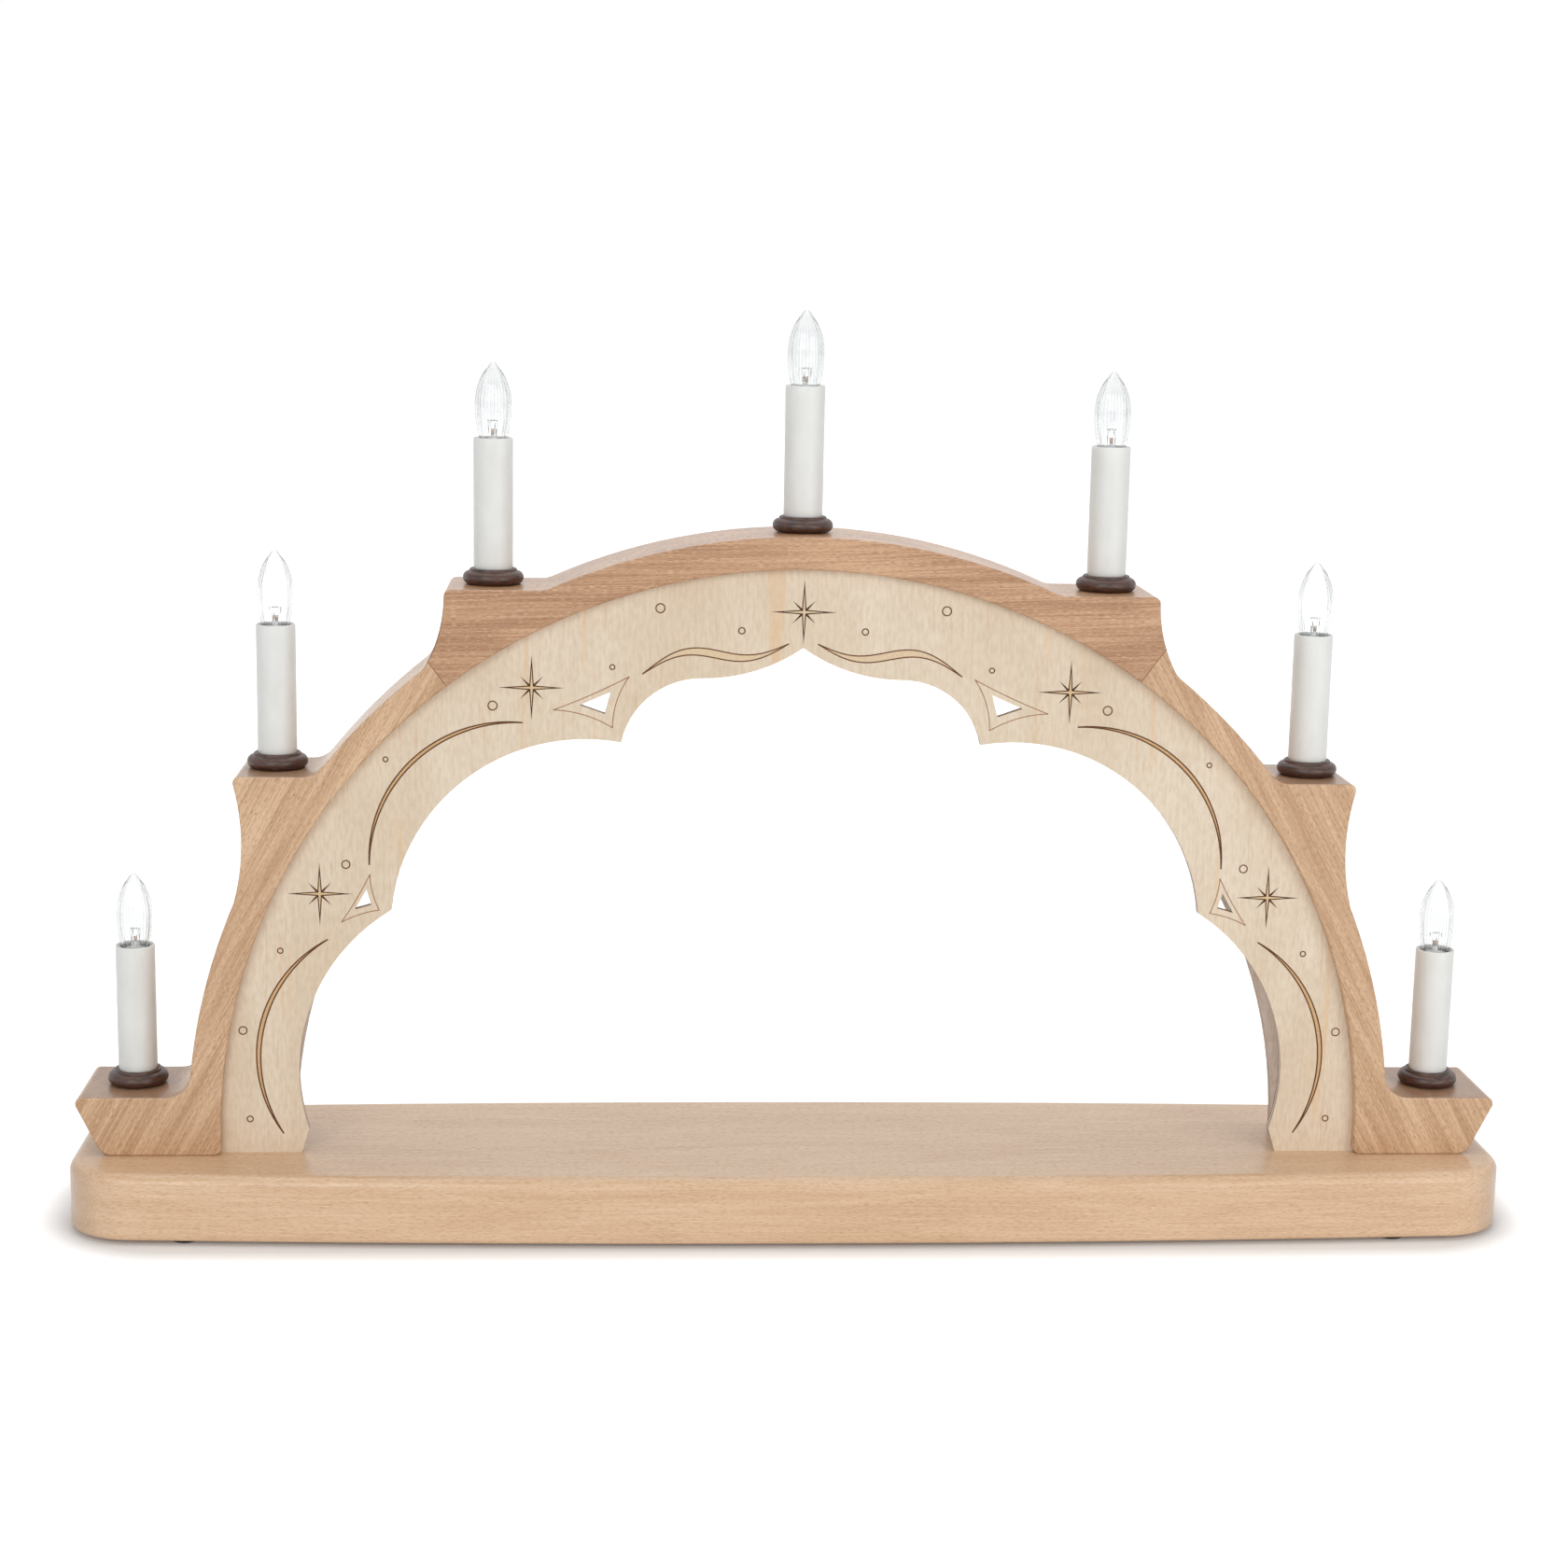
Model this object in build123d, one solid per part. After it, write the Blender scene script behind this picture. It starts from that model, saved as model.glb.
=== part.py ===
from build123d import *
import os
from math import acos, asin, cos, degrees, radians, sin, sqrt

# Candle arch: a bowed base board, a stepped arch of two legs and a crown, two
# thin panels in its grooves and seven electric candles on its consoles.
# Millimetres. X to the right, Y to the back, Z up. The origin is on the ground
# under the middle of the base. Heights that start with a part's name are
# measured from the top of the base board, unless their comment says otherwise.

# Base board
base_end_margin = 1.0
base_depth_middle = 120.0
base_depth_corner = 103.0
base_thickness = 30.0
base_plan_corner = 30.0
base_top_round = 5.0
base_bottom_round = 1.5
foot_height = 2.0
foot_diameter = 12.0
foot_end_inset = 53.5
foot_side_inset = 7.5

# Arch: one ring of wood, thicker where the consoles stand out
arch_inner_radius = 258.0
arch_centre_height = 9.0
arch_depth = 50.0
crown_band = 14.5
upper_band = 12.0
lower_band = 14.5
arch_arris = 0.8
left_mitre_angle = 37.3
right_mitre_angle = 35.6

# Consoles: the two upper ones stand out from the band at an angle from straight up
high_console_angle = 32.47
high_console_stand_off = 21.1
high_console_foot_angle = 38.1
high_console_hollow = 2.6
middle_console_angle = 56.78
middle_console_stand_off = 29.9
middle_console_foot_angle = 66.8
middle_console_hollow = 4.0
low_console_height = 27.0
low_console_lip = 12.5
low_console_undercut = 9.6
low_console_foot_round = 7.0
console_nose_round = 3.0
console_root_round = 11.0
arch_toe_round = 3.5

# Panels
panel_thickness = 4.0
panel_recess = 5.0
groove_depth = 4.0
groove_clearance = 0.1
rear_panel_width = 29.5
rear_opening_height = 0.8

# Lower outline of the front panel, right half, in shares of the arch's inner
# radius: points across from the middle and up from the base, and depths of arcs
centre_cusp_share = (0, 0.899)
ogee_share = (0.172, 0.845)
upper_cusp_share = (0.310, 0.733)
lower_cusp_share = (0.704, 0.436)
panel_knee_share = (0.849, 0.043)
panel_foot_share = (0.862, 0)
centre_hollow_share = 0.0140
ogee_bulge_share = 0.0318
middle_bulge_share = 0.1074
lower_bulge_share = 0.0721

# Small windows through the front panel, in the same shares
upper_window_shares = ((0.381, 0.797), (0.328, 0.820), (0.338, 0.782))
lower_window_shares = ((0.746, 0.472), (0.766, 0.437), (0.738, 0.445))

# Candles
profile_steps = 6
low_ring_gap = 1.0
middle_candle_inset = 17.9
high_candle_inset = 20.6
sleeve_diameter = 17.4
sleeve_wall = 1.1
sleeve_rim_bevel = 0.3
candle_height = 64.5
ring_diameter = 27.0
ring_height = 7.0
ring_lip_diameter = 21.0
ring_lip_height = 1.2
ring_base_diameter = 24.0
ring_clearance = 0.15

# Socket inside each sleeve
socket_peg_diameter = 9.8
socket_peg_length = 12.0
socket_flange_thickness = 1.2
socket_clearance = 0.2
socket_floor = 2.2
socket_wall = 1.9
socket_rim_depth = 7.5
bore_clearance = 0.1
lead_hole_diameter = 4.0
bulb_clearance = 0.3

# Screw-in bulb: heights from the rim of the sleeve
bulb_tip_height = 33.0
bulb_tip_diameter = 1.0
bulb_diameter = 16.0
bulb_widest_height = 14.5
bulb_neck_diameter = 9.1
bulb_neck_depth = 6.0
bulb_seat_diameter = 8.4
bulb_seat_length = 4.0
bulb_seat_taper = 1.0
bulb_wall = 0.7
cap_diameter = 9.5
cap_length = 10.0
cap_wall = 0.45
contact_diameter = 5.0
contact_length = 1.5
stem_top_height = 1.5
stem_diameter = 3.2
stem_flare_diameter = 6.8
stem_flare_length = 1.0
wire_diameter = 0.5
wire_foot_spacing = 1.2
filament_length = 5.4
filament_height = 8.3

# Wiring
channel_width = 8.0
channel_depth = 9.0
cover_width = 16.0
cover_thickness = 1.5
cover_clearance = 0.2
loom_diameter = 4.6
loom_gap = 4.4
loom_overlap = 1.0
riser_diameter = 4.0
lead_diameter = 1.8
inlet_diameter = 4.0
grommet_length = 6.0
grommet_clearance = 0.1
riser_hole_diameter = 6.0

# Fixings
screw_inset = 21.0
screw_spacing = 28.0
screw_diameter = 4.0
screw_length = 44.0
screw_head_diameter = 8.0
screw_head_height = 2.5
screw_sink = 3.5
screw_clearance = 0.1
dowel_diameter = 6.0
dowel_length = 24.0
dowel_spacing = 18.0
dowel_clearance = 0.05
overrun = 1.0

# Worked-out places
base_bottom = foot_height
base_top = base_bottom + base_thickness
arch_centre = base_top + arch_centre_height
crown_radius = arch_inner_radius + crown_band
upper_radius = arch_inner_radius + upper_band
lower_radius = arch_inner_radius + lower_band
arch_front = -arch_depth / 2
arch_back = arch_depth / 2
low_top = base_top + low_console_height
low_candle_x = lower_radius + console_root_round + low_ring_gap + ring_diameter / 2
low_console_reach = low_candle_x + ring_diameter / 2 + low_console_lip
base_length = 2 * (low_console_reach + base_end_margin)
foot_x = base_length / 2 - foot_end_inset
foot_y = base_depth_corner / 2 - foot_side_inset
screw_x = arch_inner_radius + screw_inset
crown_top = arch_centre + crown_radius
front_panel_front = arch_front + panel_recess
rear_panel_back = arch_back - panel_recess
rear_panel_front = rear_panel_back - panel_thickness
panel_radius = arch_inner_radius + groove_depth - groove_clearance
rear_opening_radius = arch_inner_radius - rear_panel_width
channel_top = base_bottom + channel_depth
cover_top = base_bottom + cover_thickness
loom_height = (channel_top + cover_top) / 2
loom_radius = arch_inner_radius - loom_gap - riser_diameter / 2
bulb_depth = bulb_neck_depth + bulb_seat_taper + cap_length + contact_length


def on_arch(radius, angle):
    """Point of the arch's front view at an angle from straight up, to the right."""
    turn = radians(angle)
    return (radius * sin(turn), arch_centre + radius * cos(turn))


high_nose = on_arch(crown_radius + high_console_stand_off, high_console_angle)
middle_nose = on_arch(upper_radius + middle_console_stand_off, middle_console_angle)
high_top = high_nose[1]
middle_top = middle_nose[1]
high_candle_x = high_nose[0] - high_candle_inset
middle_candle_x = middle_nose[0] - middle_candle_inset
candle_places = (
    (-low_candle_x, low_top),
    (-middle_candle_x, middle_top),
    (-high_candle_x, high_top),
    (0, crown_top),
    (high_candle_x, high_top),
    (middle_candle_x, middle_top),
    (low_candle_x, low_top),
)


def arch_arc(radius, start, end):
    """Arc about the arch's centre between two angles from straight up."""
    return ThreePointArc(on_arch(radius, start), on_arch(radius, (start + end) / 2), on_arch(radius, end))


def angle_at(radius, height):
    """Angle from straight up at which a circle of the arch passes a height."""
    return degrees(acos((height - arch_centre) / radius))


def slab(face, front, back):
    """A front-view outline made solid between two depths."""
    return extrude(Plane.XZ.offset(-front) * face, -(back - front))


def upright(radius, x, y, bottom, top):
    """Vertical round bar."""
    bar = Cylinder(radius, top - bottom, align=(Align.CENTER, Align.CENTER, Align.MIN))
    return Pos(x, y, bottom) * bar


def both_sides(shape):
    """A shape of the right half with its mirror image."""
    return shape + mirror(shape, Plane.YZ)


def rounded_at(face, point, radius):
    """Face with the corner nearest to a point rounded."""
    corner = face.vertices().sort_by_distance(Vector(*point))[0]
    return fillet(corner, radius)


def turned(profile):
    """Solid turned about the Z axis from an outline of radius and height."""
    return revolve(Plane.XZ * profile, Axis.Z)


def tube(path, diameter):
    """Round tube along a front-view path."""
    line = Plane.XZ * path
    return sweep((line ^ 0) * Circle(diameter / 2), path=line)


# Arch
def half_arch_face():
    """Right half of the arch's front view."""
    high_root = angle_at(crown_radius, high_top)
    middle_root = angle_at(upper_radius, middle_top)
    low_root = angle_at(lower_radius, low_top)
    nose = (low_console_reach, low_top)
    toe = (low_console_reach - low_console_undercut - low_console_foot_round / 2, base_top)
    heel = (arch_inner_radius, base_top)
    high_foot = on_arch(upper_radius, high_console_foot_angle)
    middle_foot = on_arch(lower_radius, middle_console_foot_angle)
    edges = [
        arch_arc(crown_radius, 0, high_root),
        Line(on_arch(crown_radius, high_root), high_nose),
        SagittaArc(high_nose, high_foot, -high_console_hollow),
        arch_arc(upper_radius, high_console_foot_angle, middle_root),
        Line(on_arch(upper_radius, middle_root), middle_nose),
        SagittaArc(middle_nose, middle_foot, -middle_console_hollow),
        arch_arc(lower_radius, middle_console_foot_angle, low_root),
        Line(on_arch(lower_radius, low_root), nose),
        Line(nose, toe),
        Line(toe, heel),
        Line(heel, (arch_inner_radius, arch_centre)),
        arch_arc(arch_inner_radius, 90, 0),
        Line(on_arch(arch_inner_radius, 0), on_arch(crown_radius, 0)),
    ]
    face = make_face(edges)
    for radius, angle in ((crown_radius, high_root), (upper_radius, middle_root), (lower_radius, low_root)):
        face = rounded_at(face, on_arch(radius, angle), console_root_round)
    for corner in (high_nose, middle_nose, nose):
        face = rounded_at(face, corner, console_nose_round)
    face = rounded_at(face, high_foot, console_root_round)
    face = rounded_at(face, toe, low_console_foot_round)
    return rounded_at(face, heel, arch_toe_round)


def opening_face(radius):
    """Front view of the space inside the arch, out to a radius."""
    return make_face(
        [
            Line((-radius, base_top), (radius, base_top)),
            Line((radius, base_top), (radius, arch_centre)),
            ThreePointArc((radius, arch_centre), on_arch(radius, 0), (-radius, arch_centre)),
            Line((-radius, arch_centre), (-radius, base_top)),
        ]
    )


def mitre_wedge():
    """The sector above the two mitre joints, which holds the crown."""
    reach = 2 * crown_radius
    right = on_arch(reach, right_mitre_angle)
    left = on_arch(reach, -left_mitre_angle)
    top = arch_centre + reach
    corners = [(0, arch_centre), right, (right[0], top), (left[0], top), left]
    return slab(make_face(Polyline(*corners, close=True)), arch_front - overrun, arch_back + overrun)


def mitre_dowel_set(radius, length):
    """Two dowels across each mitre, square to it."""
    half = length / 2
    middle = arch_inner_radius + crown_band / 2
    dowels = []
    for angle in (-left_mitre_angle, right_mitre_angle):
        x, z = on_arch(middle, angle)
        for y in (-dowel_spacing / 2, dowel_spacing / 2):
            lying = Cylinder(radius, 2 * half, rotation=(0, 90, 0))
            dowels.append(Pos(x, y, z) * Rot(0, angle, 0) * lying)
    return dowels


def screw_places():
    """Screws that hold the legs to the base, from below."""
    return [(x, y) for x in (-screw_x, screw_x) for y in (-screw_spacing / 2, screw_spacing / 2)]


def make_arch():
    """The arch with its grooves and bores, cut into left leg, crown and right leg."""
    whole = both_sides(slab(half_arch_face(), arch_front, arch_back))
    for end in (0, -1):
        flat = whole.faces().filter_by(Axis.Y).sort_by(Axis.Y)[end]
        whole = fillet(flat.outer_wire().edges(), arch_arris)
    groove_width = panel_thickness + 2 * groove_clearance
    inside = opening_face(arch_inner_radius + groove_depth)
    for panel_front in (front_panel_front, rear_panel_front):
        front = panel_front - groove_clearance
        whole -= slab(inside, front, front + groove_width)
    bore = socket_peg_diameter / 2 + bore_clearance
    for x, top in candle_places:
        whole -= upright(bore, x, 0, base_top - overrun, top + overrun)
    tip = base_bottom + screw_sink + screw_head_height + screw_length + screw_clearance
    for x, y in screw_places():
        whole -= upright(screw_diameter / 2 + screw_clearance, x, y, base_top - overrun, tip)
    for hole in mitre_dowel_set(dowel_diameter / 2 + dowel_clearance, dowel_length + overrun):
        whole -= hole
    wedge = mitre_wedge()
    crown = whole & wedge
    legs = (whole - wedge).solids().sort_by(Axis.X)
    return crown, legs[0], legs[-1]


# Base
def base_outline(inset):
    """Plan of the base board: long sides bowed, ends straight, corners rounded."""
    end = base_length / 2 - inset
    corner = base_depth_corner / 2 - inset
    middle = base_depth_middle / 2 - inset
    face = make_face(
        [
            ThreePointArc((-end, -corner), (0, -middle), (end, -corner)),
            Line((end, -corner), (end, corner)),
            ThreePointArc((end, corner), (0, middle), (-end, corner)),
            Line((-end, corner), (-end, -corner)),
        ]
    )
    return fillet(face.vertices(), base_plan_corner - inset)


def plain_box(x_from, x_to, y_from, y_to, z_from, z_to):
    """Box between two corners."""
    size = (x_to - x_from, y_to - y_from, z_to - z_from)
    return Pos(x_from, y_from, z_from) * Box(*size, align=(Align.MIN, Align.MIN, Align.MIN))


def cover_shape(gap, top):
    """The cover strip under the wiring channel, wider by a gap all round."""
    half = cover_width / 2 + gap
    end = low_candle_x + half
    back = base_depth_middle / 2 - grommet_length - grommet_clearance
    strip = plain_box(-end, end, -half, half, base_bottom, top)
    return strip + plain_box(-half, half, 0, back + gap, base_bottom, top)


def make_base_board():
    """Bowed board with the wiring channel, holes and screw seats in its underside."""
    board = extrude(Pos(0, 0, base_bottom) * base_outline(0), base_thickness)
    rims = board.faces().filter_by(Axis.Z).sort_by(Axis.Z)
    board = fillet(rims[-1].edges(), base_top_round)
    rims = board.faces().filter_by(Axis.Z).sort_by(Axis.Z)
    board = fillet(rims[0].edges(), base_bottom_round)
    half = channel_width / 2
    end = low_candle_x + half
    board -= plain_box(-end, end, -half, half, base_bottom - overrun, channel_top)
    back = base_depth_middle / 2 + overrun
    board -= plain_box(-half, half, 0, back, base_bottom - overrun, channel_top)
    board -= cover_shape(cover_clearance, cover_top)
    bore = socket_peg_diameter / 2 + bore_clearance
    for x in (-low_candle_x, low_candle_x):
        board -= upright(bore, x, 0, cover_top, base_top + overrun)
    for x in (-loom_radius, loom_radius):
        board -= upright(riser_hole_diameter / 2, x, 0, cover_top, base_top + overrun)
    seat_top = base_bottom + screw_sink + screw_head_height
    for x, y in screw_places():
        board -= upright(screw_head_diameter / 2 + screw_clearance, x, y, base_bottom - overrun, seat_top)
        board -= upright(screw_diameter / 2 + screw_clearance, x, y, base_bottom, base_top + overrun)
    return board


def make_channel_cover():
    """Thin strip that keeps the wiring in its channel."""
    return cover_shape(0, cover_top)


def make_cable_grommet():
    """Gland in the back edge of the base, flush with it, where the mains lead goes in."""
    half = channel_width / 2 - grommet_clearance
    back = base_depth_middle / 2
    top = channel_top - grommet_clearance
    block = plain_box(-half, half, back - grommet_length, back, base_bottom, top)
    board = extrude(Pos(0, 0, base_bottom) * base_outline(0), base_thickness)
    hole = Pos(0, back, loom_height) * Cylinder(inlet_diameter / 2, 2 * back, rotation=(90, 0, 0))
    return (block & board) - hole


def make_foot(x, y):
    """Round pad glued under the base."""
    return upright(foot_diameter / 2, x, y, 0, foot_height)


def make_screws():
    """The four countersunk-in screws that hold the legs down."""
    head_bottom = base_bottom + screw_sink
    head_top = head_bottom + screw_head_height
    screws = []
    for x, y in screw_places():
        shank = upright(screw_diameter / 2, x, y, head_top, head_top + screw_length)
        screws.append(upright(screw_head_diameter / 2, x, y, head_bottom, head_top) + shank)
    return screws


# Panels
def panel_point(share):
    """Point of a panel outline from its shares of the arch's inner radius."""
    return (share[0] * arch_inner_radius, base_top + share[1] * arch_inner_radius)


def front_panel_half():
    """Right half of the front panel, with its cusped lower edge."""
    cusp = panel_point(centre_cusp_share)
    ogee = panel_point(ogee_share)
    upper = panel_point(upper_cusp_share)
    lower = panel_point(lower_cusp_share)
    knee = panel_point(panel_knee_share)
    foot = panel_point(panel_foot_share)
    return make_face(
        [
            SagittaArc(cusp, ogee, -centre_hollow_share * arch_inner_radius),
            SagittaArc(ogee, upper, ogee_bulge_share * arch_inner_radius),
            SagittaArc(upper, lower, middle_bulge_share * arch_inner_radius),
            SagittaArc(lower, knee, lower_bulge_share * arch_inner_radius),
            Line(knee, foot),
            Line(foot, (panel_radius, base_top)),
            Line((panel_radius, base_top), (panel_radius, arch_centre)),
            arch_arc(panel_radius, 90, 0),
            Line(on_arch(panel_radius, 0), cusp),
        ]
    )


def window_face(shares):
    """Small three-cornered window."""
    return make_face(Polyline(*[panel_point(share) for share in shares], close=True))


def make_front_panel():
    """Sawn front panel with four small windows."""
    back = front_panel_front + panel_thickness
    half = slab(front_panel_half(), front_panel_front, back)
    for shares in (upper_window_shares, lower_window_shares):
        half -= slab(window_face(shares), front_panel_front - overrun, back + overrun)
    return both_sides(half)


def make_rear_panel():
    """Plain rear panel, a thin half ring behind the front one."""
    front = rear_panel_front
    centre = base_top + rear_opening_height
    ring = slab(opening_face(panel_radius), front, rear_panel_back)
    radius = rear_opening_radius
    gap = make_face(
        [
            Line((-radius, base_top - overrun), (radius, base_top - overrun)),
            Line((radius, base_top - overrun), (radius, centre)),
            ThreePointArc((radius, centre), (0, centre + radius), (-radius, centre)),
            Line((-radius, centre), (-radius, base_top - overrun)),
        ]
    )
    return ring - slab(gap, front - overrun, rear_panel_back + overrun)


# Candles: each piece is turned about a vertical axis at its seat
def stepped(arc):
    """Points along a small arc, which is turned as a row of short cones."""
    return [arc @ (step / profile_steps) for step in range(profile_steps + 1)]


def arc_from_upright(start, end):
    """Arc that leaves a point straight up or down and ends at another, nearer the axis."""
    across = start[0] - end[0]
    up = end[1] - start[1]
    radius = (across**2 + up**2) / (2 * across)
    half_turn = asin(up / radius) / 2
    middle = (start[0] - radius + radius * cos(half_turn), start[1] + radius * sin(half_turn))
    return ThreePointArc(start, middle, end)


def make_ring():
    """Turned wooden ring round the foot of a candle, with a lip on its top."""
    bore = sleeve_diameter / 2 + ring_clearance
    base = ring_base_diameter / 2
    lip = ring_lip_diameter / 2
    widest = ring_diameter / 2
    shoulder = ring_height - ring_lip_height
    rim = ring_lip_height / 2
    side = ThreePointArc((base, 0), (widest, shoulder / 2), (lip + rim, shoulder))
    outline = Polyline(
        (bore, 0),
        *stepped(side),
        (lip, shoulder),
        (lip, ring_height - rim),
        (lip - rim, ring_height),
        (bore, ring_height),
        close=True,
    )
    return turned(make_face(outline))


def make_sleeve():
    """Plain candle tube that stands on the socket's flange."""
    outer = upright(sleeve_diameter / 2, 0, 0, socket_flange_thickness, candle_height)
    outer = chamfer(outer.edges().sort_by(Axis.Z)[-1], sleeve_rim_bevel)
    return outer - upright(sleeve_diameter / 2 - sleeve_wall, 0, 0, 0, candle_height + overrun)


def make_socket():
    """Socket: a peg in the wood, a flange on it and a tall holder in the sleeve."""
    inner = sleeve_diameter / 2 - sleeve_wall - socket_clearance
    hollow = inner - socket_wall
    rim = candle_height - socket_rim_depth
    seat = candle_height - bulb_depth - bulb_clearance
    body = upright(socket_peg_diameter / 2, 0, 0, -socket_peg_length, 0)
    body += upright(sleeve_diameter / 2, 0, 0, 0, socket_flange_thickness)
    body += upright(inner, 0, 0, socket_flange_thickness, rim)
    body -= upright(cap_diameter / 2 + bulb_clearance, 0, 0, seat, rim + overrun)
    body -= upright(hollow, 0, 0, 2 * socket_flange_thickness, seat - socket_floor)
    bottom = -socket_peg_length - overrun
    return body - upright(lead_hole_diameter / 2, 0, 0, bottom, 3 * socket_flange_thickness)


def bulb_outline(inset):
    """Outline of the bulb's glass, drawn in by a thickness."""
    seat = bulb_seat_diameter / 2 - inset
    neck = bulb_neck_diameter / 2 - inset
    widest = bulb_diameter / 2 - inset
    bottom = -bulb_neck_depth - bulb_seat_length
    if inset:
        bottom -= overrun
    shoulder = -bulb_neck_depth - bulb_seat_taper
    waist = (widest, bulb_widest_height)
    tip = (bulb_tip_diameter / 2, bulb_tip_height - inset)
    lower_side = stepped(arc_from_upright(waist, (neck, -bulb_neck_depth)))
    upper_side = stepped(arc_from_upright(waist, tip))
    outline = Polyline(
        (0, bottom),
        (seat, bottom),
        (seat, shoulder),
        *lower_side[::-1],
        *upper_side[1:],
        (0, bulb_tip_height - inset),
        close=True,
    )
    return make_face(outline)


def make_bulb_glass():
    """Candle-shaped glass, open at its neck."""
    return turned(bulb_outline(0)) - turned(bulb_outline(bulb_wall))


def make_bulb_cap():
    """Screw cap with its contact."""
    rim = -bulb_neck_depth - bulb_seat_taper
    bottom = rim - cap_length
    cap = upright(cap_diameter / 2, 0, 0, bottom, rim)
    cap -= upright(cap_diameter / 2 - cap_wall, 0, 0, bottom + cap_wall, rim + overrun)
    return cap + upright(contact_diameter / 2, 0, 0, bottom - contact_length, bottom)


def make_bulb_stem():
    """Glass stem inside the bulb with two wires and the filament between them."""
    bottom = -bulb_neck_depth - bulb_seat_length
    flare = stem_flare_diameter / 2
    neck = stem_diameter / 2
    shoulder = bottom + stem_flare_length
    stem = turned(
        make_face(
            Polyline(
                (0, bottom),
                (flare, bottom),
                (flare, shoulder),
                (neck, shoulder + 2 * stem_flare_length),
                (neck, stem_top_height),
                (0, stem_top_height),
                close=True,
            )
        )
    )
    foot = wire_foot_spacing / 2
    end = filament_length / 2
    for side in (-1, 1):
        stem += tube(Line((side * foot, 0), (side * end, filament_height)), wire_diameter)
    filament = Cylinder(wire_diameter / 2, filament_length + wire_diameter, rotation=(0, 90, 0))
    return stem + Pos(0, 0, filament_height) * filament


# Wiring
def make_wiring_loom():
    """Wires of the seven candles: a run in the base, one round the arch and a lead to each."""
    lead_end = candle_height - bulb_depth - 2 * bulb_clearance - socket_floor
    run_end = low_candle_x + loom_diameter / 2
    loom = tube(Line((-run_end, loom_height), (run_end, loom_height)), loom_diameter)
    riser = Line((-loom_radius, loom_height), (-loom_radius, arch_centre))
    riser += arch_arc(loom_radius, -90, 90)
    riser += Line((loom_radius, arch_centre), (loom_radius, loom_height))
    loom += tube(riser, riser_diameter)
    for x, top in candle_places[1:-1]:
        start = arch_centre + sqrt(loom_radius**2 - x**2)
        loom += upright(lead_diameter / 2, x, 0, start, top + lead_end)
    for x in (-low_candle_x, low_candle_x):
        loom += upright(lead_diameter / 2, x, 0, loom_height, low_top + lead_end)
    inlet_end = base_depth_middle / 2 - grommet_length + loom_overlap
    inlet = upright(inlet_diameter / 2 - bore_clearance, 0, 0, 0, inlet_end)
    return loom + Pos(0, 0, loom_height) * Rot(-90, 0, 0) * inlet


def save(name, shape):
    """Write one sub-part."""
    if isinstance(shape, list):
        shape = Compound(children=shape)
    export_step(shape, os.path.join("parts", name + ".step"))


os.makedirs("parts", exist_ok=True)

crown, left_leg, right_leg = make_arch()
save("arch_crown", crown)
save("arch_leg_left", left_leg)
save("arch_leg_right", right_leg)
save("mitre_dowels", mitre_dowel_set(dowel_diameter / 2, dowel_length))
save("base_board", make_base_board())
save("base_screws", make_screws())
save("channel_cover", make_channel_cover())
save("cable_grommet", make_cable_grommet())
for side, x in (("left", -foot_x), ("right", foot_x)):
    save("foot_front_" + side, make_foot(x, -foot_y))
    save("foot_back_" + side, make_foot(x, foot_y))
save("front_panel", make_front_panel())
save("rear_panel", make_rear_panel())
save("wiring_loom", make_wiring_loom())

pieces = {
    "ring": (make_ring(), 0),
    "sleeve": (make_sleeve(), 0),
    "socket": (make_socket(), 0),
    "bulb_glass": (make_bulb_glass(), candle_height),
    "bulb_cap": (make_bulb_cap(), candle_height),
    "bulb_stem": (make_bulb_stem(), candle_height),
}
for number, (x, top) in enumerate(candle_places, start=1):
    for name, (shape, rise) in pieces.items():
        save(name + "_" + str(number), Pos(x, 0, top + rise) * shape)
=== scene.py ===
from math import asin, cos, pi, radians, sin

import bmesh
import bpy
import numpy as np
from mathutils import Matrix, Vector


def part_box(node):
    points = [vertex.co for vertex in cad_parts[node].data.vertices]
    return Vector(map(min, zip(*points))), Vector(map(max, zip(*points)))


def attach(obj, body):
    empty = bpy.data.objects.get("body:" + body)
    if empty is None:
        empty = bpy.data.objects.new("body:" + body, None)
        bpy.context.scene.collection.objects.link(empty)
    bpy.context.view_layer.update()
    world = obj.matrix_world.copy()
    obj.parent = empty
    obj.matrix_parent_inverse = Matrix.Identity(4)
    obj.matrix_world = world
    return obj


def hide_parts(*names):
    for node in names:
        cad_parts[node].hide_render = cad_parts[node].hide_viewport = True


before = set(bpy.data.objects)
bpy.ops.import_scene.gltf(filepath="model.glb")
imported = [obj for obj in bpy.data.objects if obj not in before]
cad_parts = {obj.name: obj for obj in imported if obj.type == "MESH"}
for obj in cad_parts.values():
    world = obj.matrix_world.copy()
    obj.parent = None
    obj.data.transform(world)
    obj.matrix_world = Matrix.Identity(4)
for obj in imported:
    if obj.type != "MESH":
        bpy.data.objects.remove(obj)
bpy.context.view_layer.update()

# Sizes are in millimetres, turned into metres where a mesh is made.
MM = 0.001

# Camera, at the photograph's viewing angle: metres, degrees, and millimetres for the lens
CAMERA_PLACE = (-0.0849, -1.2420, 0.4360)
CAMERA_HEADING = 3.626
CAMERA_PITCH = -10.780
CAMERA_ROLL = 1.072
CAMERA_LENS = 64.286
CAMERA_SENSOR = 36.0

# Lamps: name, place, size in metres, power; all aimed at one point
LAMP_TARGET = (0, 0, 0.1)
LAMPS = (
    ("key", (-1.6, -3.7, 1.8), 2.4, 49),
    ("fill", (1.3, -1.7, 0.7), 1.4, 12.5),
    ("top", (0.0, 0.3, 1.8), 1.6, 10.5),
)

# Strength of the white surroundings on the object itself
AMBIENT = 0.42

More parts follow.
